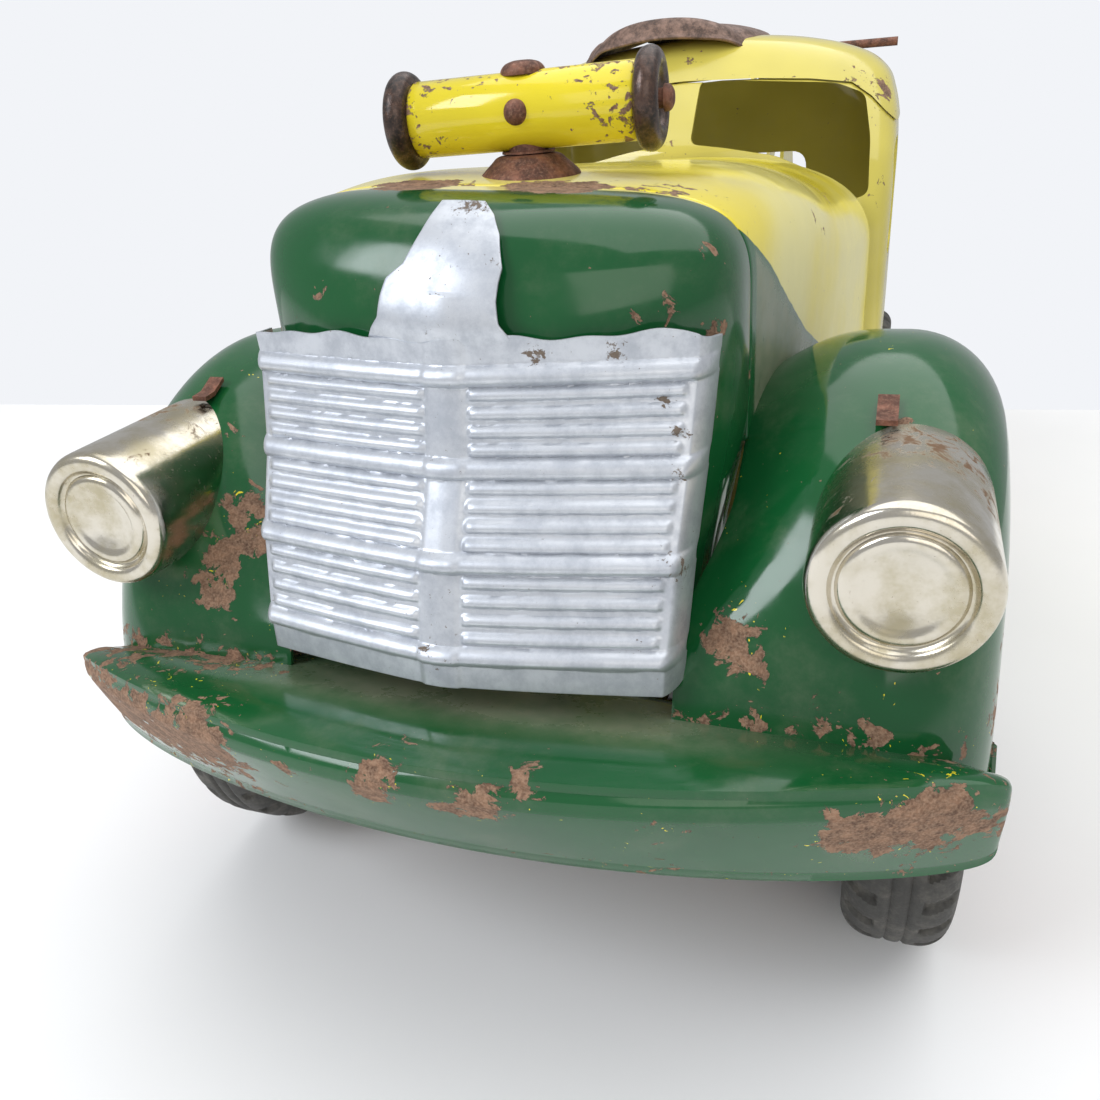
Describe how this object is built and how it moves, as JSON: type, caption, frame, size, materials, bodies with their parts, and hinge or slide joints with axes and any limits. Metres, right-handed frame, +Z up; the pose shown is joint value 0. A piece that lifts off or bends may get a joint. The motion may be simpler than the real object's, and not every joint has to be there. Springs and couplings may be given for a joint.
{
  "type": "toy tow truck",
  "caption": "Ride-on pressed-steel toy tow truck steered by a tube handle on its hood, with a saddle on the cab roof, a hand winch and a boom over the bed.",
  "frame": {"origin": "on the ground under the middle of the truck", "axes": "+X the truck's left, +Y its tail, +Z up"},
  "size_m": [0.236, 0.58, 0.2556],
  "materials": {
    "green_enamel": "gloss",
    "yellow_enamel": "gloss",
    "silver_paint": "satin",
    "aged_nickel": "worn",
    "dark_enamel": "worn",
    "tyre_rubber": "matte",
    "red_enamel": "worn",
    "rusted_steel": "worn",
    "bare_steel": "rusted"
  },
  "bodies": {
    "chassis": {"chassis_frame": "dark_enamel", "post_bush": "bare_steel", "hood_boss": "bare_steel", "rear_axle": "bare_steel", "rear_axle_brackets": "dark_enamel", "bumper_straps": "dark_enamel", "hood": "yellow_enamel", "nose_shell": "green_enamel", "grille": "silver_paint", "front_bumper": "green_enamel", "front_fender_left": "green_enamel", "front_fender_right": "green_enamel", "headlamp_left": "aged_nickel", "headlamp_right": "aged_nickel", "headlamp_clips": "bare_steel", "cab_body": "yellow_enamel", "cab_roof": "yellow_enamel", "cab_back": "yellow_enamel", "running_board_left": "green_enamel", "running_board_right": "green_enamel", "bed_side_left": "yellow_enamel", "bed_side_right": "yellow_enamel", "bed_sills": "dark_enamel", "cab_outriggers": "dark_enamel", "bed_deck": "dark_enamel", "tail_panel": "yellow_enamel", "rear_bumper": "dark_enamel", "crane_side_left": "yellow_enamel", "crane_side_right": "yellow_enamel", "boom_strap_left": "yellow_enamel", "boom_strap_right": "yellow_enamel", "crane_pins": "bare_steel", "boom_stays": "bare_steel", "saddle_seat": "rusted_steel", "seat_bracket": "dark_enamel", "body_rivets": "bare_steel"},
    "steering": {"front_axle": "bare_steel", "axle_yoke": "dark_enamel", "steering_post": "bare_steel", "handle_tube": "yellow_enamel", "handle_disc_left": "rusted_steel", "handle_disc_right": "rusted_steel", "handle_rod": "bare_steel", "handle_spacer": "bare_steel", "handle_fasteners": "bare_steel"},
    "wheel_front_left": {"tyre_front_left": "tyre_rubber", "wheel_disc_front_left": "red_enamel", "hub_cap_front_left": "aged_nickel"},
    "wheel_front_right": {"tyre_front_right": "tyre_rubber", "wheel_disc_front_right": "red_enamel", "hub_cap_front_right": "aged_nickel"},
    "wheel_rear_left": {"tyre_rear_left": "tyre_rubber", "wheel_disc_rear_left": "red_enamel", "hub_cap_rear_left": "aged_nickel"},
    "wheel_rear_right": {"tyre_rear_right": "tyre_rubber", "wheel_disc_rear_right": "red_enamel", "hub_cap_rear_right": "aged_nickel"},
    "winch": {"winch_drum": "dark_enamel", "crank_handle": "bare_steel"},
    "pulley": {"boom_pulley": "dark_enamel"}
  },
  "joints": [
    {"name": "steer", "type": "hinge", "parent": "chassis", "child": "steering", "pos_m": [0, -0.185, 0.054], "axis": [0, 0, 1], "range_deg": [-10, 10]},
    {"name": "spin_front_left", "type": "hinge", "parent": "steering", "child": "wheel_front_left", "pos_m": [0.102, -0.185, 0.054], "axis": [1, 0, 0], "continuous": true},
    {"name": "spin_front_right", "type": "hinge", "parent": "steering", "child": "wheel_front_right", "pos_m": [-0.102, -0.185, 0.054], "axis": [1, 0, 0], "continuous": true},
    {"name": "spin_rear_left", "type": "hinge", "parent": "chassis", "child": "wheel_rear_left", "pos_m": [0.075, 0.137, 0.054], "axis": [1, 0, 0], "continuous": true},
    {"name": "spin_rear_right", "type": "hinge", "parent": "chassis", "child": "wheel_rear_right", "pos_m": [-0.075, 0.137, 0.054], "axis": [1, 0, 0], "continuous": true},
    {"name": "winch_turn", "type": "hinge", "parent": "chassis", "child": "winch", "pos_m": [0, 0.173, 0.215], "axis": [1, 0, 0], "continuous": true},
    {"name": "pulley_turn", "type": "hinge", "parent": "chassis", "child": "pulley", "pos_m": [0, 0.274, 0.226], "axis": [1, 0, 0], "continuous": true}
  ]
}
